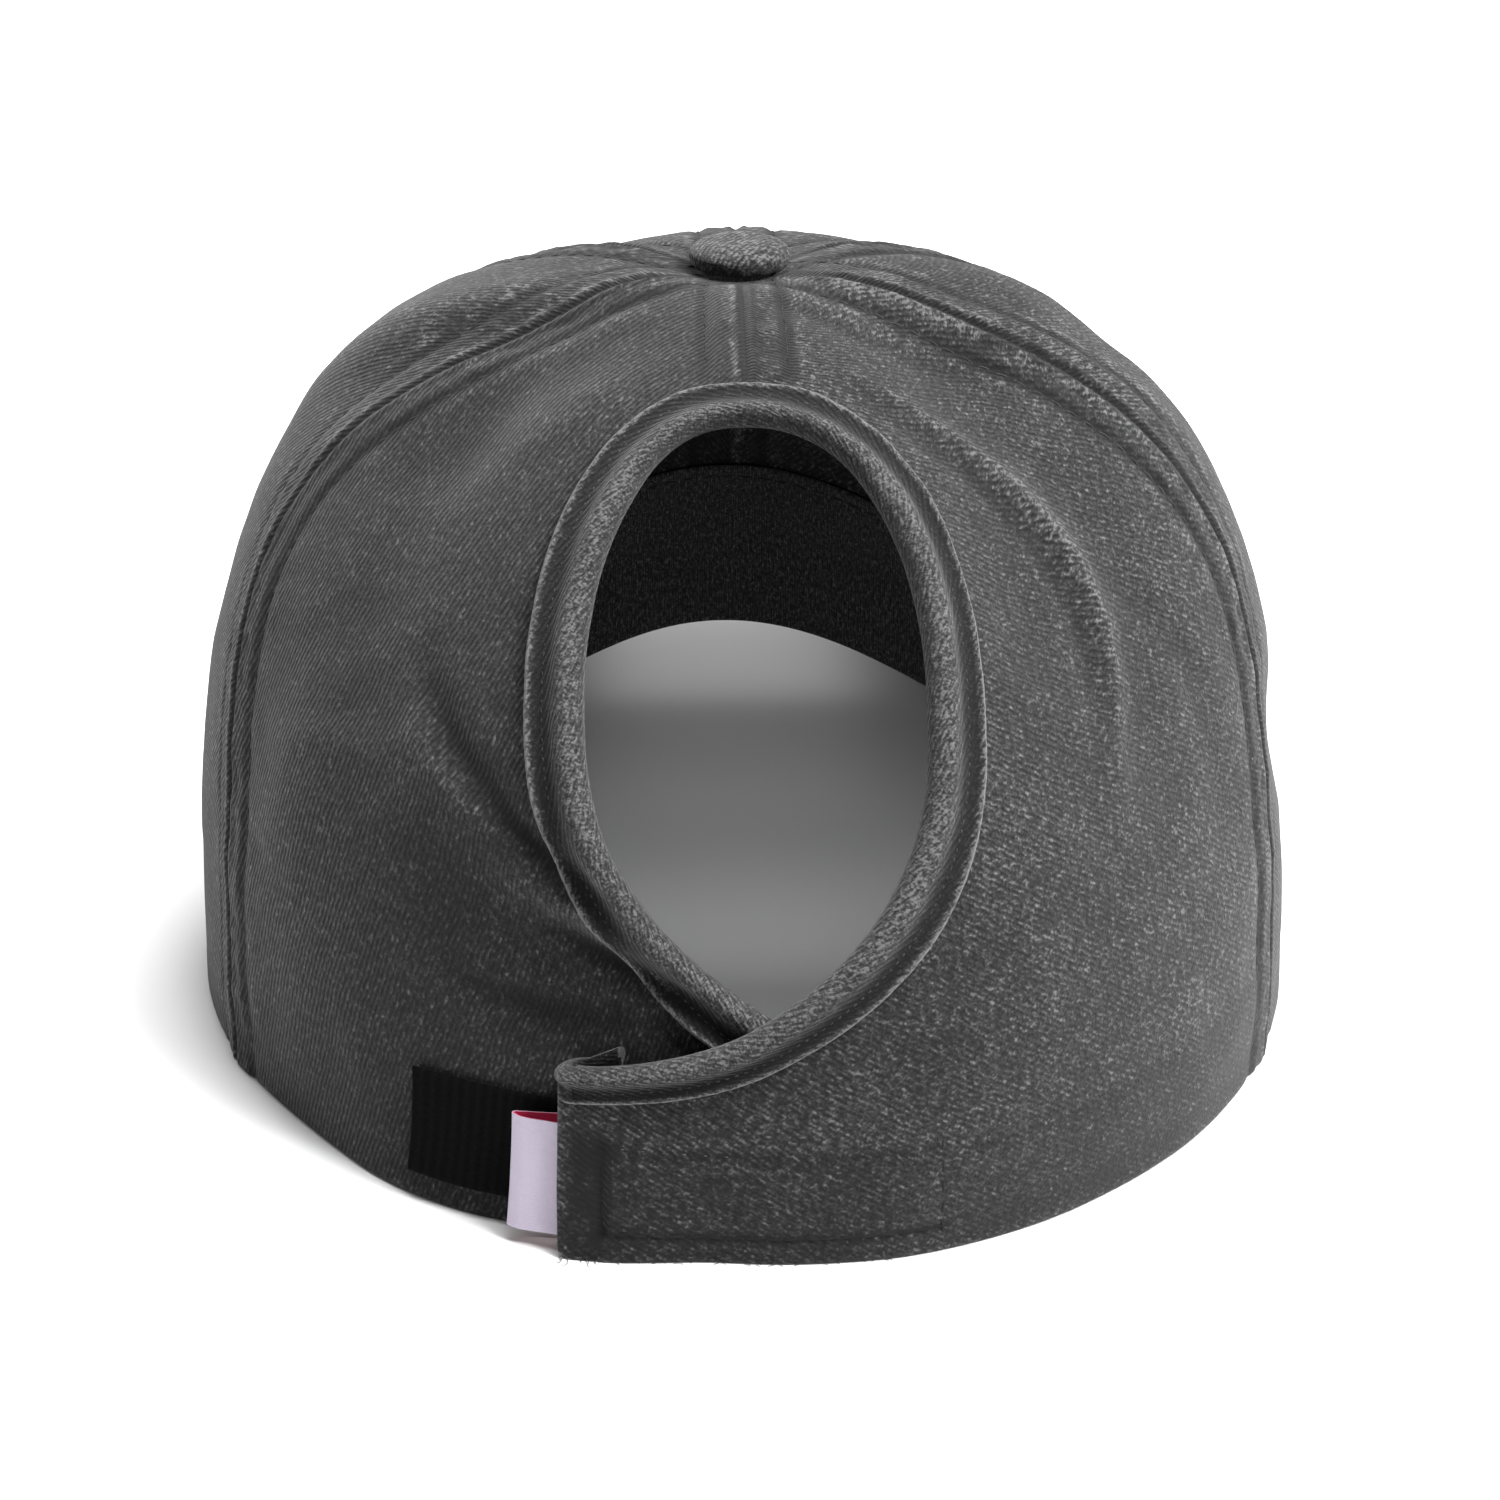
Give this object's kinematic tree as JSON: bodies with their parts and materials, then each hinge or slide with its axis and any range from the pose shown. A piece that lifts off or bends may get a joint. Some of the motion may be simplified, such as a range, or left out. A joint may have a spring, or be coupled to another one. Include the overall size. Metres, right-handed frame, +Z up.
{
  "type": "ponytail baseball cap",
  "caption": "Soft washed-cotton baseball cap with a curved visor, a teardrop ponytail opening bound in tape behind, and hook-and-loop closing tabs under it.",
  "frame": {"origin": "centre of the bounding box at the level of the surface that the cap rests on", "axes": "+Z up, -Y towards the visor, +Y towards the ponytail opening, +X towards the wearer's left"},
  "size_m": [0.176, 0.2624, 0.1198],
  "materials": {
    "twill": "washed dark grey cotton twill, worn lighter on ridges and seams",
    "binding_twill": "washed grey cotton twill tape, folded and stitched",
    "black_fastener": "black woven hook-and-loop tape",
    "tag_ribbon": "smooth pale lilac satin ribbon, crimson inside",
    "band_cotton": "dark plain cotton"
  },
  "bodies": {
    "root": {"back_panel_right": "twill", "back_panel_left": "twill", "side_panel_right": "twill", "side_panel_left": "twill", "front_panel_right": "twill", "front_panel_left": "twill", "top_button": "twill", "visor": "twill", "opening_binding": "binding_twill", "loop_patch": "black_fastener", "hook_patch": "black_fastener", "side_tag": "tag_ribbon", "sweatband": "band_cotton"}
  },
  "joints": []
}
